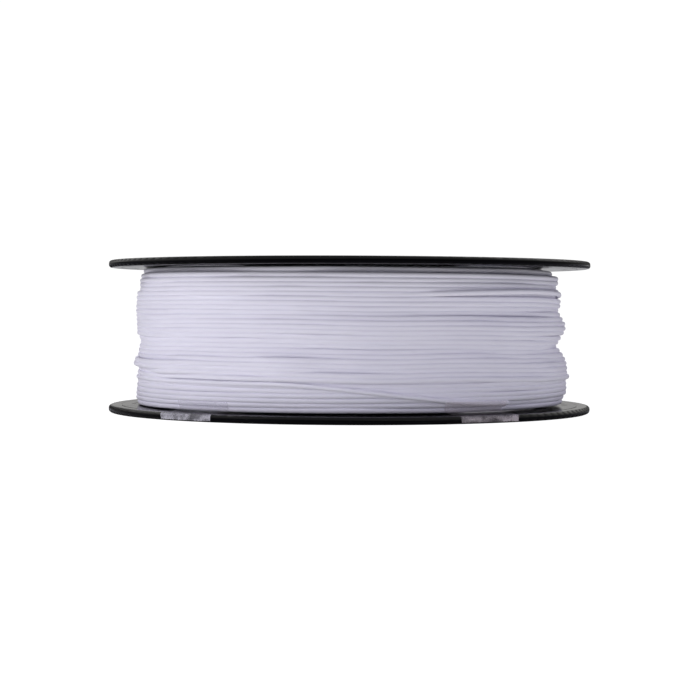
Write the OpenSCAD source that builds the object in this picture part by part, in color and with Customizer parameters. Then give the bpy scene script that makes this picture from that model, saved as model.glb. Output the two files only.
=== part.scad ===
// Filament spool: a snap-together moulded reel that holds a coil of plastic filament.
// The reel lies flat on its lower flange, so its axis is vertical, and the origin is
// in the middle of the bore. A bearing is an angle from the front (-Y) towards +X.

/* [Reel] */
// Outside diameter of the flanges
flange_d = 200; // [196:1:206]
// Width of the reel over both flanges
reel_w = 62.4; // [60.4:1:68.4]
// Diameter of the bore that runs on a spindle
bore_d = 53; // [50:0.5:54]
// Outside diameter of the drum that the filament is wound on
drum_d = 100; // [98:1:104]
// Wall thickness of the drum
drum_wall = 2; // [1.6:0.1:2.2]
// Wall thickness of the tube around the bore
tube_wall = 2.5; // [2:0.1:2.8]
// Number of ribs that join the tube to the drum
rib_count = 6; // [3:3:12]
// Thickness of a core rib
rib_t = 1.6; // [1.2:0.1:2]

/* [Flanges] */
// Thickness of the rim bead
rim_t = 3; // [2.9:0.1:3.6]
// Radial width of the rim bead
rim_w = 6; // [5:0.5:7]
// Radius of the rounded edges of the rim bead
rim_round = 1.3; // [0.8:0.1:1.4]
// Thickness of the web inside the rim bead
web_t = 1.8; // [1.6:0.1:2]
// Number of equal places around the web: one is the label pad, the others are windows
places = 6; // [5:1:6]
// Radial width of a window
window_w = 18; // [12:1:19]
// Angle between the centres of a window's round ends
window_angle = 32; // [20:1:34]
// Radius of the middle of the windows
window_r = 69; // [68:0.5:70]
// Height of the stiffening ribs on the outer face
stiffener_h = 0.6; // [0.5:0.1:0.9]
// Thickness of the stiffening ribs
stiffener_t = 1.4; // [1:0.1:1.8]
// How far the straight stiffening ribs stay below the rings they run into
stiffener_drop = 0.2; // [0.1:0.1:0.4]
// Diameter of the holes that park the filament's free end
park_hole_d = 2.4; // [2:0.1:3]

/* [Snap fingers] */
// Number of snap fingers at each end of the core
finger_count = 6; // [3:1:6]
// Width of a finger
finger_w = 8; // [6:0.5:9]
// Thickness of a finger
finger_t = 2; // [1.6:0.1:2]
// How far the barb reaches over the flange
barb = 1.6; // [1.2:0.1:1.6]

/* [Filament] */
// Diameter of the filament
filament_d = 1.75; // [1.7:0.05:1.8]
// Bearing where the last turn leaves the winding
last_turn_from = -118; // [-130:1:-90]
// Bearing where the filament ends, just past the right tape
last_turn_to = 43; // [42:1:46]
// Height of the last turn above the middle of the reel before it crosses down
last_turn_top = -16.4; // [-18:0.1:-15]
// Height of the last turn where the tape holds it
last_turn_bottom = -24.3; // [-24.6:0.1:-24]

/* [Tapes and labels] */
// Angle that a tape spans
tape_angle = 15.6; // [14:0.1:17]
// Thickness of the tape film
tape_t = 0.2; // [0.1:0.05:0.2]
// Bearing of the left tape
tape_left_bearing = -41; // [-46:1:-36]
// Bearing of the right tape
tape_right_bearing = 32.5; // [30:0.5:34]
// Angle that a label spans
label_angle = 44; // [30:1:48]
// Thickness of the label paper
label_t = 0.15; // [0.1:0.05:0.2]

/* [Hidden] */
$fn = 96;
// Direction of the front, as an angle from +X
front = -90;
flange_r = flange_d / 2;
bore_r = bore_d / 2;
tube_r = bore_r + tube_wall;
drum_r = drum_d / 2;
drum_in = drum_r - drum_wall;
half_w = reel_w / 2;
// Height of a flange's inner face above the middle of the reel
face_z = half_w - rim_t;
// Gap between parts that slide on each other, and end gap of the drum
fit = 0.1;
// How far a joined shape runs into its neighbour
bite = 0.5;

// Ring that centres a flange in the drum
spigot_h = 4;
spigot_t = 2;
collar_t = 3;
rib_end = face_z - spigot_h - 1;

// Stiffening rings on the outer face, inside and outside the windows
ring_in = window_r - window_w / 2 - 6;
ring_out = window_r + window_w / 2 + 5;
park_r = (ring_out + flange_r - rim_w) / 2 + 1;
park_gap = 10;

// Snap fingers: they stand on a shelf and bend inwards to let go of the flange
finger_r = tube_r + 6;
shelf_z = 8;
shelf_t = 3;
slot_gap = 0.3;
barb_top = 0.5;
finger_turn = 180 / rib_count;

// Slot in the drum that grips the inner end of the filament
start_slot_w = 3;
start_slot_h = 7;
start_z = -face_z + 6;
start_bearing = 96;
filament_r = filament_d / 2;
// Inner end of the filament: distance from the axis, and shift along the drum
start_route = [[50, 0], [48.6, 0.1], [47.2, 0.5], [46, 1.3], [45.1, 2.5],
               [44.4, 4], [43.8, 5.8], [43.4, 7.8], [43.2, 10], [43.1, 12.4]];

// Outside of the winding: height above the middle of the reel, and radius
coil_gap = 0.05;
coil_profile = [[-face_z + 0.1, 87.6], [-face_z + 3, 88.2], [-10, 88.5], [0, 88.2],
                [10, 87.6], [18, 86.9], [face_z - 0.3, 86]];
last_turn_rings = 63;
last_turn_cross = [-20, 40];

tape_lap = 1.3;
tape_up = 4;
tape_end = 0.5;
label_in = ring_in + stiffener_t + 1.2;
label_out = ring_out - 1.2;

function unit(v) = v / norm(v);
// Point at a bearing, a radius and a height
function at_bearing(b, r, z) = [r * sin(b), -r * cos(b), z];
// Smooth step from 0 to 1 as x goes from a to b
function ease(x, a, b) = let (t = min(1, max(0, (x - a) / (b - a)))) t * t * (3 - 2 * t);
function coil_r(z) = lookup(z, coil_profile);

function tangent(p, i) = unit(p[min(i + 1, len(p) - 1)] - p[max(i - 1, 0)]);
function cord_ring(p, i, r, sides) =
    let (t = tangent(p, i), side = unit(cross(t, [0, 0, 1])), up = cross(side, t))
    [for (k = [0:sides - 1])
        p[i] + r * (cos(360 * k / sides) * side + sin(360 * k / sides) * up)];

// Round cord swept along the points p, which never run straight up
module cord(p, r, sides = 8) {
    n = len(p);
    points = [for (i = [0:n - 1]) each cord_ring(p, i, r, sides)];
    walls = [for (i = [0:n - 2], k = [0:sides - 1])
        let (a = i * sides, b = (k + 1) % sides)
        [a + k, a + b, a + sides + b, a + sides + k]];
    start_cap = [for (k = [sides - 1:-1:0]) k];
    end_cap = [for (k = [0:sides - 1]) (n - 1) * sides + k];
    polyhedron(points, concat(walls, [start_cap, end_cap]), convexity = 6);
}

module pipe(outer_r, inner_r, h) {
    difference() {
        cylinder(r = outer_r, h = h, center = true);
        cylinder(r = inner_r, h = h + 2, center = true);
    }
}

// Square in the section plane: x is the radius and y is the height
module section(r0, r1, z0, z1) {
    translate([r0, z0]) square([r1 - r0, z1 - z0]);
}

// Section of the rim bead, with its four edges rounded
module rim_section() {
    r0 = flange_r - rim_w;
    section(r0 + rim_round, flange_r - rim_round, 0, rim_t);
    section(r0, flange_r, rim_round, rim_t - rim_round);
    for (r = [r0 + rim_round, flange_r - rim_round], z = [rim_round, rim_t - rim_round])
        translate([r, z]) circle(r = rim_round);
}

// Curved slot with round ends, centred on the +X axis
module arc_window(r, w, angle) {
    rotate(-angle / 2) rotate_extrude(angle = angle) section(r - w / 2, r + w / 2, -1, rim_t);
    for (a = [-angle / 2, angle / 2])
        rotate(a) translate([r, 0, -1]) cylinder(d = w, h = rim_t + 1);
}

module flange_disc() {
    rotate_extrude() {
        rim_section();
        section(tube_r + fit, flange_r - rim_w + bite, 0, web_t);
        section(tube_r + fit, tube_r + fit + collar_t, 0, rim_t);
        section(ring_in, ring_in + stiffener_t, 0, web_t + stiffener_h);
        section(ring_out, ring_out + stiffener_t, 0, web_t + stiffener_h);
        section(drum_in - fit - spigot_t, drum_in - fit, -spigot_h, bite);
    }
    // Spoke ribs beside the windows, and short ribs from the collar to the inner ring
    for (i = [0:places - 1])
        rotate((i + 0.5) * 360 / places)
            stiffener(ring_in + bite, ring_out + bite);
    for (i = [0:rib_count - 1])
        rotate(i * 360 / rib_count)
            stiffener(tube_r + collar_t - bite, ring_in + bite);
}

// Straight rib on the web, along +X from r0 to r1
module stiffener(r0, r1) {
    translate([r0, -stiffener_t / 2, web_t - bite])
        cube([r1 - r0, stiffener_t, stiffener_h - stiffener_drop + bite]);
}

// One flange with its inner face at z = 0 and its outer face up.
// The label pad is on the +X axis.
module flange() {
    difference() {
        flange_disc();
        for (i = [1:places - 1])
            rotate(i * 360 / places) arc_window(window_r, window_w, window_angle);
        for (i = [0:finger_count - 1])
            rotate(finger_turn + i * 360 / finger_count)
                translate([finger_r - barb - slot_gap, -finger_w / 2 - slot_gap, -1])
                    cube([finger_t + barb + 2 * slot_gap, finger_w + 2 * slot_gap, rim_t + 1]);
        for (a = [90, 270], side = [-1, 1])
            rotate(a) translate([park_r, side * park_gap / 2, -1])
                cylinder(d = park_hole_d, h = rim_t + 1);
    }
}

// A ring of fingers for the upper end, each a straight beam with a sloping barb
module snap_fingers() {
    root_z = shelf_z + shelf_t;
    ledge_z = face_z + web_t + fit;
    tip_z = half_w - fit;
    outline = [
        [finger_r, root_z],
        [finger_r + finger_t, root_z],
        [finger_r + finger_t, ledge_z],
        [finger_r + finger_t + barb, ledge_z],
        [finger_r + finger_t + barb_top, tip_z],
        [finger_r, tip_z]
    ];
    for (i = [0:finger_count - 1])
        rotate(front + finger_turn + i * 360 / finger_count)
            translate([0, finger_w / 2, 0])
                rotate([90, 0, 0]) linear_extrude(finger_w) polygon(outline);
}

// Sector of a thin ring, for the labels
module label_sector() {
    rotate(-label_angle / 2) rotate_extrude(angle = label_angle)
        section(label_in, label_out, 0, label_t);
}

// Film that runs down the winding, out over the flange's face and over the rim.
// lift is how far the film stands off the winding, up how high it climbs.
module tape(bearing, lift, up) {
    inner_r = coil_r(-face_z) + lift;
    rotate(front + bearing - tape_angle / 2) rotate_extrude(angle = tape_angle) {
        section(inner_r, inner_r + tape_t, -face_z + fit, -face_z + up);
        section(inner_r, flange_r + fit + tape_t, -face_z + fit, -face_z + fit + tape_t);
        section(flange_r + fit, flange_r + fit + tape_t, -half_w + tape_end, -face_z + fit + tape_t);
    }
}

module upper_flange() {
    color("#141417") translate([0, 0, face_z]) rotate(front) flange();
}

module lower_flange() {
    color("#141417") mirror([0, 0, 1]) translate([0, 0, face_z]) rotate(front) flange();
}

module winding_core() {
    color("#1a1a1e") {
        difference() {
            pipe(drum_r, drum_in, 2 * (face_z - fit));
            rotate(front + start_bearing)
                translate([drum_r, 0, start_z]) cube([12, start_slot_w, start_slot_h], center = true);
        }
        pipe(tube_r, bore_r, reel_w);
        for (i = [0:rib_count - 1])
            rotate(front + i * 360 / rib_count)
                translate([tube_r - bite, -rib_t / 2, -rib_end])
                    cube([drum_in - tube_r + 2 * bite, rib_t, 2 * rib_end]);
        for (side = [-1, 1])
            translate([0, 0, side * (shelf_z + shelf_t / 2)])
                pipe(finger_r + finger_t + 1, tube_r - bite, shelf_t);
    }
}

module upper_snap_fingers() {
    color("#1a1a1e") snap_fingers();
}

module lower_snap_fingers() {
    color("#1a1a1e") mirror([0, 0, 1]) snap_fingers();
}

module filament_coil() {
    inner_r = drum_r + coil_gap;
    outline = concat(
        [[inner_r, coil_profile[0][0]]],
        [for (p = coil_profile) [p[1], p[0]]],
        [[inner_r, coil_profile[len(coil_profile) - 1][0]]]
    );
    color("#d6d3e4") rotate_extrude() polygon(outline);
}

module filament_last_turn() {
    step = (last_turn_to - last_turn_from) / last_turn_rings;
    drop = last_turn_bottom - last_turn_top;
    route = [for (i = [0:last_turn_rings])
        let (b = last_turn_from + i * step,
             z = last_turn_top + drop * ease(b, last_turn_cross[0], last_turn_cross[1]))
        at_bearing(b, coil_r(z) + filament_r + fit, z)];
    color("#dcd9ea") cord(route, filament_r);
}

module filament_inner_end() {
    route = [for (p = start_route) [p[0], p[1], start_z]];
    color("#dcd9ea") rotate(front + start_bearing) cord(route, filament_r);
}

module tape_left() {
    color("#c8c8d2", 0.6) tape(tape_left_bearing, fit + coil_r(-face_z + 3) - coil_r(-face_z), tape_up);
}

module tape_right() {
    color("#c8c8d2", 0.6) tape(tape_right_bearing, filament_d + tape_lap, tape_up + tape_lap);
}

module upper_label() {
    color("#e8e8ea") translate([0, 0, face_z + web_t]) rotate(front) label_sector();
}

module lower_label() {
    color("#e8e8ea") mirror([0, 0, 1]) translate([0, 0, face_z + web_t]) rotate(front) label_sector();
}

lower_flange();
upper_flange();
winding_core();
lower_snap_fingers();
upper_snap_fingers();
filament_coil();
filament_last_turn();
filament_inner_end();
tape_left();
tape_right();
upper_label();
lower_label();
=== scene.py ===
"""Looks of a filament spool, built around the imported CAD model.

The flanges and the core stay the CAD's own meshes with moulded-plastic materials. The filament is
wound here: a strand is laid turn by turn, each turn rests on those below it, and the outer layers
are swept as round tubes. The tapes are wrinkled films.

Lengths are in millimetres until mesh_object() turns them into metres, apart from the camera and the
materials, which are in metres. A bearing is an angle in degrees round the axis from the front (-Y),
positive towards +X, and z is the height above the middle.
"""
import math

import bpy
import numpy as np
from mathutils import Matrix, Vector


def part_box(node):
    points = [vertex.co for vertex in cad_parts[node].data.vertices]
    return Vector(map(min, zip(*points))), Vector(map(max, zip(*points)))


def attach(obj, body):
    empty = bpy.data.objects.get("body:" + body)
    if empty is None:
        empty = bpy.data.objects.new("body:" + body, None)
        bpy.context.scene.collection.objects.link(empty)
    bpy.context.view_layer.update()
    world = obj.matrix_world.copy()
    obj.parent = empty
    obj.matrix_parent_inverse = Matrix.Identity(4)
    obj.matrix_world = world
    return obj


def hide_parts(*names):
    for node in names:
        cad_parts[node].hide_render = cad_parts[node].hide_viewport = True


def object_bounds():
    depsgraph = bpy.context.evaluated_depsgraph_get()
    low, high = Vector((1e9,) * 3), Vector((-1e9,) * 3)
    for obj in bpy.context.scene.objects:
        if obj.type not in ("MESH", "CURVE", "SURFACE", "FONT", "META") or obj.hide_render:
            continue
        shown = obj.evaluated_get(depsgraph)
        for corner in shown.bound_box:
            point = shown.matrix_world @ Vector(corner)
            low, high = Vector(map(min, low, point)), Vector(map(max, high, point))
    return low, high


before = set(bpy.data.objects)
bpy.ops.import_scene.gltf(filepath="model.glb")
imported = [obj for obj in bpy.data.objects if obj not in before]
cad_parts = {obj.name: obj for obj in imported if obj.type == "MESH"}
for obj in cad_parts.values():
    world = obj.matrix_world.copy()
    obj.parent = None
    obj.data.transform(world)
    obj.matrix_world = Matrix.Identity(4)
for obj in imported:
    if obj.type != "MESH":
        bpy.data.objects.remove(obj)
CAD_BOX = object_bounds()

MM = 0.001
# Room that the CAD leaves between the coil and the drum and flanges round it
FIT = 0.1
FLANGE_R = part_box("upper_flange")[1].x / MM
# Height of the flanges' inner faces, and radius of the drum
FACE_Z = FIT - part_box("filament_coil")[0].z / MM
DRUM_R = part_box("winding_core")[1].x / MM
# A random phase in radians lies between 0 and this
PHASE = 6.3

# ---------------------------------------------------------------- helpers for meshes


def outward(points, faces):
    """The faces of a closed mesh, turned to look outwards."""
    volume = 0
    for f in faces:
        p = points[f]
        for i in range(1, p.shape[1] - 1):
            volume += (p[:, 0] * np.cross(p[:, i], p[:, i + 1])).sum()
    return faces if volume > 0 else [f[:, ::-1] for f in faces]


def mesh_object(name, points, faces, closed=True):
    """A mesh object from points in millimetres and a list of arrays of faces.

    The faces of one array have the same number of corners.
    """
    mesh = bpy.data.meshes.new(name)
    points = np.asarray(points, float).reshape(-1, 3) * MM
    faces = [np.atleast_2d(f) for f in faces]
    if closed:
        faces = outward(points, faces)
    mesh.vertices.add(len(points))
    mesh.vertices.foreach_set("co", points.ravel())
    corners = np.concatenate([f.ravel() for f in faces])
    counts = np.concatenate([np.full(len(f), f.shape[1]) for f in faces])
    mesh.loops.add(len(corners))
    mesh.loops.foreach_set("vertex_index", corners)
    mesh.polygons.add(len(counts))
    mesh.polygons.foreach_set("loop_start", np.concatenate([[0], np.cumsum(counts)[:-1]]))
    mesh.polygons.foreach_set("loop_total", counts)
    mesh.update(calc_edges=True)
    mesh.polygons.foreach_set("use_smooth", [closed] * len(counts))
    obj = bpy.data.objects.new(name, mesh)
    bpy.context.scene.collection.objects.link(obj)
    return obj


def place(obj, body, node, material):
    """Joins a piece to its body, hides the CAD nodes that it stands for and gives it a material."""
    obj.data.materials.append(material)
    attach(obj, body)
    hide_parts(*node)


def polar(r, bearing, z):
    """Points from radius, bearing in degrees and height, as an array with x, y, z last."""
    b = np.radians(bearing)
    r, b, z = np.broadcast_arrays(r, b, z)
    return np.stack([r * np.sin(b), -r * np.cos(b), z], axis=-1)


def grid_faces(rows, columns, wrap=False):
    """Quads between neighbours of a grid of points, closed round the columns if wrap."""
    i = np.arange(rows - 1)[:, None]
    j = np.arange(columns if wrap else columns - 1)[None, :]
    k = (j + 1) % columns
    a = i * columns
    return np.stack([a + j, a + columns + j, a + columns + k, a + k], axis=2).reshape(-1, 4)


def smoothstep(x):
    """0 up to 0 and 1 from 1 on, with a smooth rise between them."""
    x = np.clip(x, 0, 1)
    return x * x * (3 - 2 * x)


# ---------------------------------------------------------------- helpers for materials


def new_material(name):
    mat = bpy.data.materials.new(name)
    mat.use_nodes = True
    return mat, mat.node_tree, mat.node_tree.nodes["Principled BSDF"]


def feed(nt, given, socket):
    """Sets an input to a number or a colour, or links another node's output to it."""
    if isinstance(given, bpy.types.NodeSocket):
        nt.links.new(given, socket)
    elif isinstance(given, tuple):
        socket.default_value = (*given, 1)
    else:
        socket.default_value = given


def spread(nt, value, low, high, start=0.3, end=0.7):
    """The value from start to end, spread over low to high, which may be outputs of nodes."""
    ramp = nt.nodes.new("ShaderNodeMapRange")
    for name, given in (("Value", value), ("From Min", start), ("From Max", end),
                        ("To Min", low), ("To Max", high)):
        feed(nt, given, ramp.inputs[name])
    return ramp.outputs["Result"]


def tint(nt, value, low, high):
    """A colour between low and high, each of which is a colour or a node's output."""
    mix = nt.nodes.new("ShaderNodeMix")
    mix.data_type = "RGBA"
    for name, given in (("Factor", value), ("A", low), ("B", high)):
        feed(nt, given, mix.inputs[name])
    return mix.outputs["Result"]


def combine(nt, operation, first, second):
    """One value from two by a Math node, the second of which may be a number."""
    node = nt.nodes.new("ShaderNodeMath")
    node.operation = operation
    feed(nt, first, node.inputs[0])
    feed(nt, second, node.inputs[1])
    return node.outputs[0]


def object_point(nt):
    """The outputs X, Y and Z for a point in the object's own coordinates, in metres."""
    xyz = nt.nodes.new("ShaderNodeSeparateXYZ")
    nt.links.new(nt.nodes.new("ShaderNodeTexCoord").outputs["Object"], xyz.inputs[0])
    return xyz.outputs


def noise(nt, scale, detail=3, stretch=(1, 1, 1)):
    """A noise value in the object's own coordinates, in cells per metre."""
    coord = nt.nodes.new("ShaderNodeTexCoord")
    mapping = nt.nodes.new("ShaderNodeMapping")
    mapping.inputs["Scale"].default_value = stretch
    tex = nt.nodes.new("ShaderNodeTexNoise")
    tex.inputs["Scale"].default_value = scale
    tex.inputs["Detail"].default_value = detail
    nt.links.new(coord.outputs["Object"], mapping.inputs["Vector"])
    nt.links.new(mapping.outputs["Vector"], tex.inputs["Vector"])
    return tex.outputs["Fac"]


def bump(nt, shader, value, height):
    """Raises a shader's surface by a value, up to a height in metres."""
    node = nt.nodes.new("ShaderNodeBump")
    node.inputs["Distance"].default_value = height
    nt.links.new(value, node.inputs["Height"])
    nt.links.new(node.outputs["Normal"], shader.inputs["Normal"])


# ---------------------------------------------------------------- camera, light, floor

# The camera, fitted to the photo's outline: place in metres, and lens and tilt in its pixels
IMAGE_PX = 700
FOCAL_PX = 1910.5
TILT_PX = 42.0
CAMERA_AT = (0.0002, -0.8, 0.0119)
CAMERA_ROLL = -0.0035

# Soft light from areas of a white tent: direction, cosines of the angle from it where the area
# starts and is full, strength, and strength in reflections
TENT = [
    ((-0.87, -0.49, 0.0), 0.56, 1.0, 2.28, 0.0),
    ((-0.97, -0.20, 0.05), 0.6, 1.0, 0.0, 0.4),
    ((1.0, 0.0, 0.1), 0.4, 1.0, 0.60, 0.1),
    ((0.0, 0.0, 1.0), 0.1, 0.5, 0.12, 0.9),
    ((0.0, 1.0, 0.05), 0.5, 1.0, 0.1, 0.1),
    ((0.0, 1.0, 0.05), 0.965, 0.99, 0.0, 0.3),
    ((0.0, 0.0, 1.0), -1.2, -1.0, 0.05, 0.02),
]
# The light's colour from the left and from the right, how far from one to the other, and its colour
# in reflections
FROM_LEFT = (0.925, 0.91, 1)
FROM_RIGHT = (0.80, 0.785, 1)
LEFT_TO_RIGHT = (-0.9, 0.1)
REFLECTED = (1, 0.99, 0.98)
BACKDROP = 1.05

# The floor: half its side, and its brightness to the camera, as light on the object, and in
# reflections, from and to a distance behind the object in metres
FLOOR_HALF = 6000
FLOOR_SEEN = 0.98
FLOOR_LIT = 0.7
FLOOR_REFLECTED = (0.05, 0.4)
FLOOR_BEHIND = (0.4, 1.5)


def make_camera():
    """The camera 800 mm in front of the axis and 12 mm above the middle, tilted down a little."""
    cam = bpy.data.cameras.new("camera")
    cam.sensor_width = 36
    cam.lens = FOCAL_PX / IMAGE_PX * cam.sensor_width
    obj = bpy.data.objects.new("camera", cam)
    bpy.context.scene.collection.objects.link(obj)
    obj.location = CAMERA_AT
    obj.rotation_euler = (math.radians(90) - math.atan(TILT_PX / FOCAL_PX), CAMERA_ROLL, 0)
    bpy.context.scene.camera = obj


def world_lobe(nt, coord, glossy, direction, start, end, lit, mirrored):
    """A value that rises as a ray turns towards a direction, to its own strength in reflections."""
    dot = nt.nodes.new("ShaderNodeVectorMath")
    dot.operation = "DOT_PRODUCT"
    dot.inputs[1].default_value = Vector(direction).normalized()
    nt.links.new(coord, dot.inputs[0])
    strength = spread(nt, glossy, lit, mirrored, 0, 1)
    lobe = spread(nt, dot.outputs["Value"], 0, strength, start, end)
    lobe.node.interpolation_type = "SMOOTHSTEP"
    return lobe


def make_world():
    """A white backdrop for the camera, and the tent's light for everything else."""
    world = bpy.data.worlds.new("studio")
    bpy.context.scene.world = world
    world.use_nodes = True
    nt = world.node_tree
    nt.nodes.clear()
    out = nt.nodes.new("ShaderNodeOutputWorld")
    seen = nt.nodes.new("ShaderNodeBackground")
    seen.inputs["Color"].default_value = (1, 1, 1, 1)
    seen.inputs["Strength"].default_value = BACKDROP
    lit = nt.nodes.new("ShaderNodeBackground")
    coord = nt.nodes.new("ShaderNodeTexCoord").outputs["Generated"]
    across = nt.nodes.new("ShaderNodeSeparateXYZ")
    nt.links.new(coord, across.inputs[0])
    path = nt.nodes.new("ShaderNodeLightPath")
    glossy = path.outputs["Is Glossy Ray"]
    side = spread(nt, across.outputs["X"], 0, 1, *LEFT_TO_RIGHT)
    colour = tint(nt, glossy, tint(nt, side, FROM_LEFT, FROM_RIGHT), REFLECTED)
    nt.links.new(colour, lit.inputs["Color"])
    total = None
    for area in TENT:
        lobe = world_lobe(nt, coord, glossy, *area)
        total = combine(nt, "ADD", total, lobe) if total else lobe
    nt.links.new(total, lit.inputs["Strength"])
    mix = nt.nodes.new("ShaderNodeMixShader")
    nt.links.new(path.outputs["Is Camera Ray"], mix.inputs["Fac"])
    nt.links.new(lit.outputs[0], mix.inputs[1])
    nt.links.new(seen.outputs[0], mix.inputs[2])
    nt.links.new(mix.outputs[0], out.inputs[0])
    bpy.context.scene.view_settings.view_transform = "Standard"


def make_floor():
    """A white table, bright as the backdrop where the camera sees it."""
    r = FLOOR_HALF
    z = CAD_BOX[0].z / MM
    corners = [(-r, -r, z), (r, -r, z), (r, r, z), (-r, r, z)]
    obj = mesh_object("floor", corners, [[(0, 1, 2, 3)]], closed=False)
    mat, nt, b = new_material("floor_white")
    b.inputs["Base Color"].default_value = (0.3, 0.3, 0.3, 1)
    b.inputs["Roughness"].default_value = 0.9
    b.inputs["Specular IOR Level"].default_value = 0.0
    b.inputs["Emission Color"].default_value = (1, 1, 1, 1)
    path = nt.nodes.new("ShaderNodeLightPath")
    reflected = spread(nt, object_point(nt)["Y"], *FLOOR_REFLECTED, *FLOOR_BEHIND)
    unseen = spread(nt, path.outputs["Is Glossy Ray"], FLOOR_LIT, reflected, 0, 1)
    seen = spread(nt, path.outputs["Is Camera Ray"], unseen, FLOOR_SEEN, 0, 1)
    nt.links.new(seen, b.inputs["Emission Strength"])
    obj.data.materials.append(mat)


# ---------------------------------------------------------------- the winding

# The strand: steps a turn, diameter, distance between layers, and height where layers turn back
STEPS = 288
D = 1.75
LAYER = 1.8
END_Z = 27.05
# The last full layer turns back below the upper flange, and the one over it stops where the free
# end leaves it
TOP_Z = 25.0
LAST_Z = -16.4
# The last eight layers, inside to outside: first height, last height and turns
LEGS = [(-END_Z, END_Z, 30), (END_Z, -END_Z, 30)] * 3 + [(-END_Z, TOP_Z, 29), (TOP_Z, LAST_Z, 23)]
FIRST_DRAWN = 4
# Height that a turn takes up where it touches the next one
CONTACT = 1.757
# The seed whose outline came closest to the photo's
WINDING_SEED = 135
# Gaps of each layer between two turns: how many, half the arc of one in degrees, and height
GAPS = 50
GAP_HALF_ARC = (6, 20)
GAP_HEIGHT = (0.2, 0.65)
# Turns wander by this much in waves: up to so many a turn, and so many of each number, which drift
# round by an angle in radians a turn
WANDER = 0.05
WAVES_A_TURN = 8
WAVES_OF_EACH = 3
WAVE_DRIFT = (0.5, 2.3)
# Turns that came too close are pushed apart and smoothed, over and over
SPREAD_PASSES = 60
PUSH = 0.45
SMOOTHING = 0.08
# Rides over a neighbour: from which layer on, how many in each, turns left free at its ends, the
# slope's and half the flat's length in turns, and height in strands
RIDE_SEED = 5
FIRST_RIDE = 3
RIDES = 1
RIDE_MARGIN = 3
RIDE_SLOPE = (0.08, 0.16)
RIDE_FLAT = (0.0, 0.15)
RIDE_HEIGHT = (0.8, 1.0)
# The strands are drawn a little thick, so that no light passes between two that touch
SWELL = 0.2
LIM = FACE_Z - D / 2 - SWELL - 0.02
# Each piece of the strand runs on inside the next one, thinner and thinner
END_TAPER = (0.7, 0.9, 0.97)
# The free end leaves the last layer, crosses down and ends under the right tape: its two bearings
# and heights, the bearings where it crosses, steps that it takes to leave, and how deep it sinks in
FREE_END = (-118, 43)
FREE_END_Z = (LAST_Z, -24.3)
FREE_END_CROSS = (-20, 40)
FREE_END_LEAVES = 40
FREE_END_SINK = 0.3
# Over the bed lie four layers, two more below BED_TOP, and one less again below BED_LAST, where the
# last layer has ended. Both changes fade over BED_FADE
BED_TOP = TOP_Z + 1
BED_LAST = LAST_Z + 0.8
BED_FADE = 1.6
# A strand rests on any of so many turns before it, pulls tight in so many passes, and is worked out
# with so many steps of the turn after it
TURNS_UNDER = 70
TENSION_PASSES = 220
STEPS_AHEAD = 30
ROUND_SIDES = 16
# The spirals against the flanges: name, side, outer radius and seed
END_FACES = (("filament_upper_face", 1, 82.5, 3), ("filament_lower_face", -1, 84.0, 4))
# In them, where in its turn a ring steps out, over how much of it, how deep turns lie, the least
# distance from the flange, and how much too thick they are
FACE_STEP_AT = (0.3, 0.75)
FACE_STEP = 0.1
FACE_DEPTH = (0, 0.5)
FACE_CLEAR = 0.06
FACE_SWELL = 0.02
# The ring of inner layers: ridges, points of each and their height, distance from the ends, layers
# over the bed, and columns
RIDGES = 30
RIDGE_POINTS = 6
RIDGE_HEIGHT = 0.4
RING_END = 0.4
RING_LAYERS = 1.7
RING_COLUMNS = 144
# The hook at the inner end: points, start outside the drum, depth, swing in degrees where it enters
# the drum, and swing back, with the shares of its length before it and over which it happens
HOOK_POINTS = 40
HOOK_START = 0.9
HOOK_DEPTH = 7.8
HOOK_SWING = 3.5
HOOK_BACK = 2.2
HOOK_BACK_AT = (0.55, 0.45)

# Height and radius over the strands of the finished winding, at its left and right sides
LEFT_SIDE = [
    (-27.4, 91.0), (-25.5, 88.8), (-21, 89.2), (-18, 87.6), (-16, 87.4), (-13.5, 88.0),
    (-10, 88.9), (-6, 88.2), (-1, 87.0), (4, 89.0), (8, 89.3), (13, 89.2),
    (17, 88.2), (20, 86.0), (23, 84.2), (25, 83.6), (26, 84), (27.4, 89.5),
]
RIGHT_SIDE = [
    (-27.4, 90.0), (-25.5, 88.2), (-23, 90.4), (-21, 90.6), (-16, 90.4), (-9, 90.4),
    (-5, 85.0), (-2, 86.6), (4, 90.6), (9, 86.0), (14, 88.4), (17, 88.0),
    (20, 86.0), (23, 84.4), (25, 83.6), (26, 84), (27.4, 89.5),
]


def profile(z, bearing):
    """Radius over the strands of the finished winding, which isn't quite round."""
    left = np.interp(z, *np.array(LEFT_SIDE).T)
    right = np.interp(z, *np.array(RIGHT_SIDE).T)
    return left + (right - left) * (1 + np.sin(np.radians(bearing))) / 2


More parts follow.
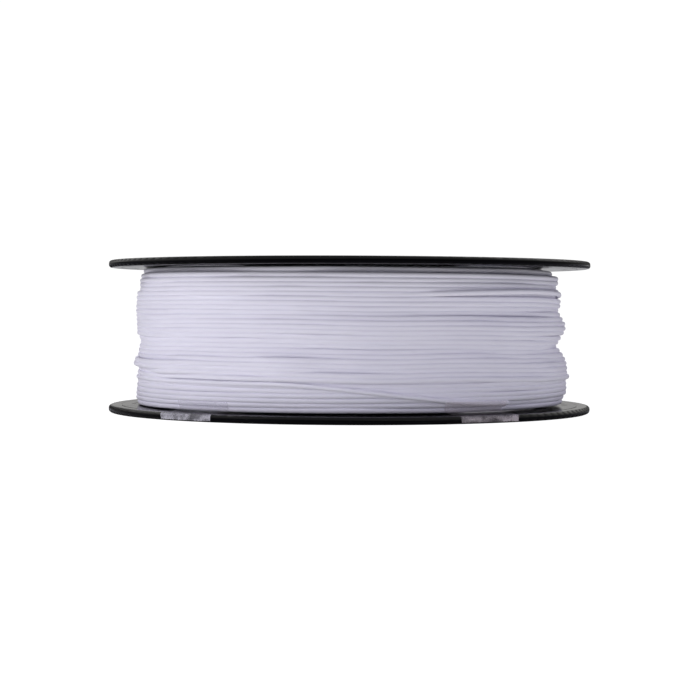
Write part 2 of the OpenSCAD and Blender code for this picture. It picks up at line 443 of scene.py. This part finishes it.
def lanes():
    """The strand's height at every step: turns that touch, apart from gaps that open and close.

    With it comes the step at which each layer starts, and the one where the last layer ends.
    """
    rng = np.random.default_rng(WINDING_SEED)
    parts = []
    for z0, z1, n in LEGS:
        up = 1 if z1 > z0 else -1
        i = np.arange(n * STEPS)
        slack = abs(z1 - z0) - CONTACT * n
        lift = np.zeros(len(i))
        for _ in range(GAPS):
            turn, at = rng.integers(1, n), rng.uniform(0, STEPS)
            half = rng.uniform(*GAP_HALF_ARC) / 360 * STEPS
            nearest = np.round((i - at) / STEPS)
            off = (i - at - nearest * STEPS) / half
            gap = rng.uniform(*GAP_HEIGHT) * (1 - smoothstep(np.abs(off)))
            lift += np.where(nearest >= turn, gap, 0)
        room = lift[-STEPS:].mean()
        parts.append(z0 + up * (CONTACT * i / STEPS + lift + (slack - room) * i / len(i)))
    z = np.concatenate(parts)
    s = np.arange(len(z)) / STEPS
    for m in range(1, WAVES_A_TURN + 1):
        for _ in range(WAVES_OF_EACH):
            drift = rng.uniform(*WAVE_DRIFT) * rng.choice([-1, 1])
            height = WANDER * rng.normal() * m ** -0.3
            z += height * np.cos((2 * np.pi * m + drift) * s + rng.uniform(0, PHASE))
    starts = np.cumsum([0] + [n * STEPS for *_, n in LEGS])
    kernel = np.array([1, 2, 3, 2, 1]) / 9
    for a, b, (z0, z1, _) in zip(starts[:-1], starts[1:], LEGS):
        up = 1 if z1 > z0 else -1
        layer = z[a:b]
        for _ in range(SPREAD_PASSES):
            push = PUSH * up * np.maximum(0, D - up * (layer[STEPS:] - layer[:-STEPS]))
            layer[STEPS:] += push
            layer[:-STEPS] -= push
            np.clip(layer, -LIM, LIM, out=layer)
            z += SMOOTHING * (np.convolve(np.pad(z, 2, mode="edge"), kernel, "valid") - z)
    return z, starts


def excursions(z, starts):
    """Adds places where a turn slipped back by a strand, so that it rides over its neighbours."""
    rng = np.random.default_rng(RIDE_SEED)
    s = np.arange(len(z))
    for start, (z0, z1, n) in list(zip(starts, LEGS))[FIRST_RIDE:]:
        up = 1 if z1 > z0 else -1
        for _ in range(RIDES):
            turn = rng.integers(RIDE_MARGIN, n - RIDE_MARGIN)
            centre = start + int((turn + rng.uniform()) * STEPS)
            slope = rng.uniform(*RIDE_SLOPE) * STEPS
            flat = rng.uniform(*RIDE_FLAT) * STEPS
            height = -up * D * rng.choice(RIDE_HEIGHT)
            z += height * (1 - smoothstep((np.abs(s - centre) - flat) / slope))
    return np.clip(z, -LIM, LIM)


def add_free_end(z):
    """The last part of a turn, which leaves its layer and crosses down to the tape."""
    count = round((FREE_END[1] - FREE_END[0]) / 360 * STEPS)
    bearing = FREE_END[1] + (np.arange(count) - count + 1) * 360 / STEPS
    t = smoothstep((bearing - FREE_END_CROSS[0]) / (FREE_END_CROSS[1] - FREE_END_CROSS[0]))
    route = FREE_END_Z[0] - CONTACT * (bearing - FREE_END[0]) / 360
    route += (FREE_END_Z[1] - route) * t
    blend = smoothstep(np.arange(count) / FREE_END_LEAVES)
    return np.concatenate([z, z[-1] + (route - z[-1]) * blend]), count


def bed(z, bearing):
    """Radius of the second layer's strands that brings the finished surface to its profile."""
    full = 4 + 2 * smoothstep((BED_TOP - z) / BED_FADE)
    above = full - smoothstep((BED_LAST - z) / BED_FADE)
    return profile(z, bearing) - D / 2 - LAYER * above


def radii(z, bearing, starts):
    """The strand's radius at every step: pulled tight over the turns laid before it.

    A strand that spans two supports is straight. Along a straight line 1 / r is a cosine, so each
    step's 1 / r is what its neighbours ask for, or less where the strand rests on something.
    """
    r = bed(z, bearing)
    r[:starts[1]] -= LAYER
    r[starts[2]:] = 0
    cos_step = np.cos(2 * np.pi / STEPS)
    back = STEPS * np.arange(1, TURNS_UNDER + 1)[:, None]
    for s0 in range(starts[2], len(z), STEPS):
        s1 = min(s0 + STEPS, len(z))
        ks = np.arange(s0, min(s1 + STEPS_AHEAD, len(z)))
        under = np.maximum(ks[None, :] - back, 0)
        gap = D * D - (z[ks][None, :] - z[under]) ** 2
        touch = (gap > 0) & (r[under] > 0)
        rest = np.where(touch, r[under] + np.sqrt(np.maximum(gap, 0)), 0).max(0)
        rest = np.where(rest <= 0, bed(z[ks], bearing[ks]), rest)
        u = 1 / rest
        for _ in range(TENSION_PASSES):
            e = np.concatenate([[1 / r[s0 - 1]], u, [u[-1]]])
            u = np.minimum(1 / rest, (e[:-2] + e[2:]) / (2 * cos_step))
        tight = 1 / u
        for _ in range(2):
            e = np.concatenate([[r[s0 - 1]], tight, [tight[-1]]])
            tight = 0.25 * e[:-2] + 0.5 * e[1:-1] + 0.25 * e[2:]
        r[s0:s1] = tight[:s1 - s0]
    return r


def tube(name, r, z, bearing, radius, sides=8):
    """A round tube with closed ends along a path of radius, height and bearing in degrees."""
    k = np.arange(sides) * 2 * np.pi / sides
    out, up = radius * np.cos(k), radius * np.sin(k)
    points = polar(r[:, None] + out, bearing[:, None], z[:, None] + up)
    last = len(r) * sides - sides
    caps = [np.arange(sides)[::-1], last + np.arange(sides)]
    return mesh_object(name, points, [grid_faces(len(r), sides, wrap=True)[:, ::-1], caps])


def end_face(name, side, outer, seed):
    """The turns that lie against a flange, as one spiral that steps from ring to ring."""
    rng = np.random.default_rng(seed)
    turns = int((outer - DRUM_R - D / 2) / LAYER)
    turn = np.arange(turns * STEPS) / STEPS
    whole = np.floor(turn)
    ring = whole.astype(int)
    step_at = rng.uniform(*FACE_STEP_AT, turns + 1)[ring]
    r = DRUM_R + D / 2 + LAYER * (whole + smoothstep((turn - whole - step_at) / FACE_STEP))
    depths = rng.uniform(*FACE_DEPTH, turns + 2)
    deep = depths[ring] + (depths[ring + 1] - depths[ring]) * (turn - whole)
    z = side * (FACE_Z - D / 2 - FACE_CLEAR - deep)
    return tube(name, r, z, side * turn * 360, D / 2 + FACE_SWELL)


def inner_layers():
    """The inner layers as one ridged ring, which is all that shows of them between the strands."""
    ridges = 2 * np.pi * np.linspace(0, RIDGES, RIDGES * RIDGE_POINTS + 1)
    z = np.linspace(-END_Z + RING_END, END_Z - RING_END, len(ridges))
    outer = bed(z, 0) + RING_LAYERS * LAYER + RIDGE_HEIGHT * np.abs(np.sin(ridges / 2))
    r = np.concatenate([[DRUM_R + FIT], outer, [DRUM_R + FIT]])
    z = np.concatenate([[z[0]], z, [z[-1]]])
    n = RING_COLUMNS
    points = polar(r[:, None], np.linspace(0, 360, n + 1)[None, :-1], z[:, None])
    j = np.arange(n)
    last = (len(r) - 1) * n
    inside = np.stack([last + j, j, (j + 1) % n, last + (j + 1) % n], axis=1)
    return mesh_object("filament_inner_layers", points, [grid_faces(len(r), n, wrap=True), inside])


def inner_end():
    """The start of the filament, hooked through the drum's slot."""
    low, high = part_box("filament_inner_end")
    middle = (low + high) / 2 / MM
    bearing = math.degrees(math.atan2(middle.x, -middle.y))
    t = np.linspace(0, 1, HOOK_POINTS)
    swing = HOOK_SWING * (1 - t) ** 2
    swing -= HOOK_BACK * smoothstep((t - HOOK_BACK_AT[0]) / HOOK_BACK_AT[1])
    path = polar(DRUM_R + HOOK_START - HOOK_DEPTH * t, bearing + swing, middle.z)
    ahead = np.gradient(path, axis=0)
    ahead /= np.linalg.norm(ahead, axis=1)[:, None]
    up = np.array([0, 0, 1.0])
    side = np.cross(ahead, up)[:, None, :]
    k = np.linspace(0, 2 * np.pi, ROUND_SIDES + 1)[None, :-1, None]
    points = path[:, None, :] + D / 2 * (np.cos(k) * side + np.sin(k) * up)
    last = (HOOK_POINTS - 1) * ROUND_SIDES
    caps = [np.arange(ROUND_SIDES), last + np.arange(ROUND_SIDES)[::-1]]
    sides = grid_faces(HOOK_POINTS, ROUND_SIDES, wrap=True)
    return mesh_object("filament_start", points, [sides, caps])


def wind_filament(material):
    """All pieces of the filament. Returns the strand's radius, height and bearing at every step."""
    z, starts = lanes()
    z = excursions(z, starts)
    z, count = add_free_end(z)
    bearing = FREE_END[1] + (np.arange(len(z)) - len(z) + 1) * 360 / STEPS
    r = radii(z, bearing, starts)
    cuts = list(starts[FIRST_DRAWN:])
    taper = len(END_TAPER)
    for i, (a, b) in enumerate(zip(cuts[:-1], cuts[1:])):
        part = slice(a - taper, b + taper + 1)
        radius = np.full(part.stop - part.start, D / 2 + SWELL)
        radius[:taper] *= END_TAPER
        radius[-taper:] *= END_TAPER[::-1]
        layer = tube(f"filament_layer_{i + 1}", r[part], z[part], bearing[part], radius[:, None])
        place(layer, "wound_core", ["filament_coil"], material)
    part = slice(len(z) - count, len(z))
    sunk = r[part] - FREE_END_SINK
    free = tube("filament_free_end", sunk, z[part], bearing[part], D / 2, sides=ROUND_SIDES)
    place(free, "wound_core", ["filament_last_turn"], material)
    for face in END_FACES:
        place(end_face(*face), "wound_core", ["filament_coil"], material)
    place(inner_layers(), "wound_core", ["filament_coil"], material)
    place(inner_end(), "wound_core", ["filament_inner_end"], material)
    return r, z, bearing


# ---------------------------------------------------------------- the tapes and labels

# The film's path over the flange: it leaves the winding at a height, comes down on the flange at a
# radius, goes round the rim's edge and ends on the rim's side
LEAVES_Z = -26.9
TOUCHES_R = 95.0
RIM_EDGE_R = 1.3
RIM_END_Z = -30.5
# Its thickness and its distance from what it lies on
FILM = 0.06
FILM_GAP = 0.12
# Columns across it, and rows on the winding, on each free or straight stretch, and round the edge
TAPE_COLUMNS = 150
WINDING_ROWS = 30
STRAIGHT_ROWS = 15
EDGE_ROWS = 9
# Turns that may lie under it, rows that it bridges to either side, and how often it is smoothed
TURNS_SEEN = 60
DRAPE_REACH = 3
DRAPE_PASSES = 6
# Teeth over its width, twice the height of one, and the share of that height at the end on the
# winding, which fades over the first 1 / TOOTH_FADE of the length
TEETH = 18
TOOTH = 0.5
TOP_TEETH = 0.6
TOOTH_FADE = 12
# Creases: how many, their height, the length of their waves, and how strong each is
CREASES = 6
CREASE_HEIGHT = 0.2
CREASE_LENGTH = (2.5, 9)
CREASE_SHARE = (0.4, 1)

# A label: thickness, corner radius, waviness and how far its underside stays off the flange
LABEL_T = 0.15
LABEL_CORNER = 3.0
LABEL_WAVE = 0.02
LABEL_CLEAR = 0.03
LABEL_ROWS = 41
LABEL_COLUMNS = 121
# How far the lifted corner stands up, and the sum of the two places, -1 to 1 across and 0 to 1
# outwards, where the lift starts and over which it grows
LABEL_LIFT = 0.5
LABEL_LIFT_FROM = 1.75
LABEL_LIFT_OVER = 0.25


def winding_surface(winding, bearings, heights):
    """Radius over the strands at each bearing and height."""
    r, z, bearing = winding
    outer = np.zeros((len(bearings), len(heights)))
    last = len(r) - 1
    for i, b in enumerate(bearings):
        back = np.round((bearing[last] - b) / 360 * STEPS).astype(int) % STEPS
        k = last - back - STEPS * np.arange(TURNS_SEEN)
        reach = (D / 2 + SWELL) ** 2 - (heights[:, None] - z[k][None, :]) ** 2
        outer[i] = np.where(reach > 0, r[k] + np.sqrt(np.maximum(reach, 0)), 0).max(1)
    return outer


def drape(surface):
    """The film's radius over a surface: it bridges the grooves between strands."""
    hull = surface.copy()
    for step in range(1, DRAPE_REACH + 1):
        hull[:, step:] = np.maximum(hull[:, step:], surface[:, :-step])
        hull[:, :-step] = np.maximum(hull[:, :-step], surface[:, step:])
    for axis in (0, 1):
        for _ in range(DRAPE_PASSES):
            padded = np.pad(hull, [(1, 1) if a == axis else (0, 0) for a in (0, 1)], mode="edge")
            near = [np.take(padded, range(k, k + hull.shape[axis]), axis=axis) for k in range(3)]
            hull = (near[0] + 2 * near[1] + near[2]) / 4
    return hull


def wrinkles(rng, u, v):
    """Soft random creases over the film's width u and length v, in millimetres."""
    total = np.zeros(np.broadcast(u, v).shape)
    for _ in range(CREASES):
        turn = rng.uniform(0, math.pi)
        length = rng.uniform(*CREASE_LENGTH)
        along = u * math.cos(turn) + v * math.sin(turn)
        wave = np.cos(2 * math.pi * along / length + rng.uniform(0, PHASE))
        total += np.abs(wave) * rng.uniform(*CREASE_SHARE) / CREASES
    return CREASE_HEIGHT * total


def sheet(name, front, normal, thickness):
    """A closed thin sheet from a grid of points on its front and the normals there."""
    rows, columns = front.shape[:2]
    n = rows * columns
    points = np.concatenate([front.reshape(-1, 3), (front - thickness * normal).reshape(-1, 3)])
    faces = grid_faces(rows, columns)
    edge = np.concatenate([np.arange(columns), np.arange(1, rows) * columns + columns - 1,
                           (rows - 1) * columns + np.arange(columns - 1)[::-1],
                           np.arange(rows - 1)[:0:-1] * columns])
    after = np.roll(edge, -1)
    sides = np.stack([edge, after, after + n, edge + n], axis=1)
    return mesh_object(name, points, [faces, faces[:, ::-1] + n, sides])


def label(name, node, body, side, material):
    """A paper label with rounded corners on a flange's web, with one corner that lifts a little."""
    low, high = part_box(node)
    outer = -low.y / MM
    half = math.asin(high.x / MM / outer)
    inner = -high.y / MM / math.cos(half)
    base = (low.z if side > 0 else high.z) / MM
    r = np.linspace(inner, outer, LABEL_ROWS)[:, None]
    inside = np.clip(np.minimum(r - inner, outer - r), 0, LABEL_CORNER)
    cut = LABEL_CORNER - np.sqrt(LABEL_CORNER ** 2 - (LABEL_CORNER - inside) ** 2)
    u = np.linspace(-1, 1, LABEL_COLUMNS)[None, :]
    bearing = np.degrees(u * (half - cut / r))
    spot = u + (r - inner) / (outer - inner)
    lift = LABEL_LIFT * smoothstep((spot - LABEL_LIFT_FROM) / LABEL_LIFT_OVER)
    z = base + side * (LABEL_T + LABEL_WAVE * np.sin(9 * u + r / 3) + lift)
    up = np.broadcast_to(np.array([0, 0, side]), (*z.shape, 3))
    paper = sheet(name, polar(r, side * bearing, z), up, LABEL_T - LABEL_CLEAR)
    place(paper, body, [node], material)


def tape_path(draped, heights, teeth):
    """Radius and height of the film at every column and row, from the winding to its end."""
    column = 0 * draped[:, :1]
    flange_z = -FACE_Z + FILM_GAP
    edge_r = FLANGE_R - RIM_EDGE_R
    edge_z = -FACE_Z - RIM_EDGE_R
    across = np.linspace(0, 1, STRAIGHT_ROWS)[None, 1:]
    round_edge = np.linspace(0, 1, EDGE_ROWS)[None, 1:]
    turn = round_edge * math.pi / 2
    stretches = [
        (draped, heights),
        (draped[:, -1:] + (TOUCHES_R - draped[:, -1:]) * across,
         LEAVES_Z + (flange_z - LEAVES_Z) * np.sin(across * math.pi / 2) ** 0.8),
        (TOUCHES_R + (edge_r - TOUCHES_R) * round_edge, flange_z + 0 * round_edge),
        (edge_r + (RIM_EDGE_R + FILM_GAP) * np.sin(turn),
         edge_z + (RIM_EDGE_R + FILM_GAP) * np.cos(turn)),
        (FLANGE_R + FILM_GAP + 0 * across,
         edge_z + (RIM_END_Z + FACE_Z + RIM_EDGE_R - teeth[:, None]) * across),
    ]
    return [np.concatenate([stretch[k] + column for stretch in stretches], 1) for k in (0, 1)]


def tape(name, node, corners, top_z, winding, seed, material):
    """A strip of film from the winding over the lower flange's rim, with teeth at its torn ends.

    corners are the bearings of its two sides, at its upper end and at its lower end.
    """
    rng = np.random.default_rng(seed)
    (top_left, top_right), (low_left, low_right) = corners
    u = np.linspace(0, 1, TAPE_COLUMNS)
    teeth = TOOTH * np.abs((u * TEETH) % 1 - 0.5)
    heights = np.linspace(top_z, LEAVES_Z, WINDING_ROWS)
    bearings = top_left + (top_right - top_left) * u
    draped = drape(winding_surface(winding, bearings, heights)) + FILM_GAP
    r, z = tape_path(draped, heights, teeth)
    along = np.concatenate([[0], np.cumsum(np.hypot(np.diff(r[0]), np.diff(z[0])))])
    v = along / along[-1]
    left = top_left + (low_left - top_left) * v
    right = top_right + (low_right - top_right) * v
    bearing = left[None, :] + (right - left)[None, :] * u[:, None]
    z = z + (teeth[:, None] * TOP_TEETH) * (1 - smoothstep(v * TOOTH_FADE))[None, :]
    flat = polar(r, bearing, z)
    normal = np.cross(np.gradient(flat, axis=1), np.gradient(flat, axis=0))
    normal /= np.linalg.norm(normal, axis=2)[:, :, None]
    if (normal[:, -1] * flat[:, -1]).sum() < 0:
        normal = -normal
    width = math.radians(top_right - top_left) * FLANGE_R
    creased = flat + normal * wrinkles(rng, u[:, None] * width, along[None, :])[:, :, None]
    film = sheet(name, creased, normal, FILM)
    place(film, "wound_core", [node], material)


# ---------------------------------------------------------------- materials

# Pairs of colours, between which a noise varies
FILAMENT_COLOURS = ((0.90, 0.885, 0.965), (0.92, 0.905, 0.98))
PLASTIC_COLOURS = ((0.001, 0.001, 0.0014), (0.002, 0.0019, 0.0026))
PAPER_COLOURS = ((0.78, 0.78, 0.79), (0.84, 0.84, 0.85))
RULE_COLOUR = (0.35, 0.35, 0.38)
BAND_COLOUR = (0.45, 0.42, 0.62)
# The film, in metres: from where to where its edges get milky, partly as painted glints, away from
# its middle, and heights between which it passes from the rim's side to the flange, and from the
# flange to the winding
FILM_EDGE = (0.002, 0.01)
FILM_RIM_Z = (-0.0286, -0.0281)
FILM_WINDING_Z = (-0.0274, -0.0268)
# The label, in metres: radii between which the band starts, half the distance between two ruled
# lines, and half a line's thickness where it is full and where it has faded
BAND_R = (0.0765, 0.0767)
HALF_RULE_SPACING = 0.002
RULE_EDGE = (0.0001, 0.00016)


def filament_material():
    """White filament with a slight lavender tint and a soft gloss."""
    mat, nt, b = new_material("filament_plastic")
    colour = tint(nt, spread(nt, noise(nt, 60), 0, 1), *FILAMENT_COLOURS)
    nt.links.new(colour, b.inputs["Base Color"])
    nt.links.new(spread(nt, noise(nt, 400), 0.32, 0.46), b.inputs["Roughness"])
    b.inputs["Specular IOR Level"].default_value = 0.35
    bump(nt, b, noise(nt, 900, detail=4), 0.00002)
    return mat


def plastic_material(name, rough, grain, depth):
    """Black moulded plastic: range of roughness, grains per metre and depth of one in metres."""
    mat, nt, b = new_material(name)
    colour = tint(nt, spread(nt, noise(nt, 35), 0, 1), *PLASTIC_COLOURS)
    nt.links.new(colour, b.inputs["Base Color"])
    nt.links.new(spread(nt, noise(nt, 90, detail=5), *rough), b.inputs["Roughness"])
    b.inputs["Specular IOR Level"].default_value = 0.13
    bump(nt, b, noise(nt, grain, detail=4), depth)
    return mat


def film_material(name, colour, middle, cover):
    """Clear film, milky in streaks where it lies on the rim and most of all near its two edges.

    The milky streaks and edges are partly painted glints: opaque white that stands in for light
    caught by the wrinkled film. middle is the x of its middle in metres, and cover how much of the
    rim the milkiest streaks hide.
    """
    mat, nt, b = new_material(name)
    b.inputs["Base Color"].default_value = (*colour, 1)
    point = object_point(nt)
    off = combine(nt, "ABSOLUTE", combine(nt, "SUBTRACT", point["X"], middle), 0.0)
    # Painted glints: the film turns opaque white near its edges and in streaks on the rim, partly
    # as milky film and partly standing in for light caught by its wrinkles
    edges = spread(nt, off, 0.0, 0.35, *FILM_EDGE)
    streaks = spread(nt, noise(nt, 240, detail=4, stretch=(1, 1, 1.6)), 0.05, 1.0, 0.40, 0.64)
    on_rim = spread(nt, point["Z"], cover, 0.0, *FILM_RIM_Z)
    on_winding = spread(nt, point["Z"], 0.05, 0.2, *FILM_WINDING_Z)
    milky = combine(nt, "MULTIPLY", combine(nt, "ADD", edges, streaks), on_rim)
    nt.links.new(combine(nt, "ADD", milky, on_winding), b.inputs["Alpha"])
    nt.links.new(spread(nt, noise(nt, 300), 0.14, 0.28), b.inputs["Roughness"])
    b.inputs["Specular IOR Level"].default_value = 0.5
    bump(nt, b, noise(nt, 500), 0.00003)
    return mat


def label_material():
    """White coated paper with a coloured band and ruled lines, and no text."""
    mat, nt, b = new_material("label_paper")
    coord = nt.nodes.new("ShaderNodeTexCoord")
    flat = nt.nodes.new("ShaderNodeVectorMath")
    flat.operation = "MULTIPLY"
    flat.inputs[1].default_value = (1, 1, 0)
    radius = nt.nodes.new("ShaderNodeVectorMath")
    radius.operation = "LENGTH"
    nt.links.new(coord.outputs["Object"], flat.inputs[0])
    nt.links.new(flat.outputs["Vector"], radius.inputs[0])
    band = spread(nt, radius.outputs["Value"], 0, 1, *BAND_R)
    off_line = combine(nt, "PINGPONG", radius.outputs["Value"], HALF_RULE_SPACING)
    lines = spread(nt, off_line, 1, 0, *RULE_EDGE)
    paper = tint(nt, spread(nt, noise(nt, 900, detail=5), 0, 1), *PAPER_COLOURS)
    ruled = tint(nt, lines, paper, RULE_COLOUR)
    nt.links.new(tint(nt, band, ruled, BAND_COLOUR), b.inputs["Base Color"])
    b.inputs["Roughness"].default_value = 0.45
    bump(nt, b, noise(nt, 2500, detail=4), 0.00001)
    return mat


# ---------------------------------------------------------------- the scene

make_camera()
make_world()
make_floor()
winding = wind_filament(filament_material())

# The last number is how much of the rim the milky streaks, partly painted glints, hide on each tape
film_left = film_material("clear_film_left", (0.86, 0.845, 0.91), -0.062, 0.36)
film_right = film_material("clear_film_right", (0.80, 0.73, 0.76), 0.053, 0.26)
left_corners = ((-48.6, -31.5), (-45.9, -31.3))
right_corners = ((23.6, 41.6), (24.8, 39.8))
tape("tape_film_left", "tape_left", left_corners, -24.2, winding, 21, film_left)
tape("tape_film_right", "tape_right", right_corners, -23.4, winding, 22, film_right)

reel = plastic_material("reel_black_plastic", (0.07, 0.12), 1500, 0.000002)
core = plastic_material("core_black_plastic", (0.25, 0.4), 2500, 0.00003)
paper = label_material()
label("label_upper", "upper_label", "upper_side", 1, paper)
label("label_lower", "lower_label", "wound_core", -1, paper)
for node, material in (("lower_flange", reel), ("upper_flange", reel), ("winding_core", core),
                       ("lower_snap_fingers", core), ("upper_snap_fingers", core)):
    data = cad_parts[node].data
    data.materials.clear()
    data.materials.append(material)
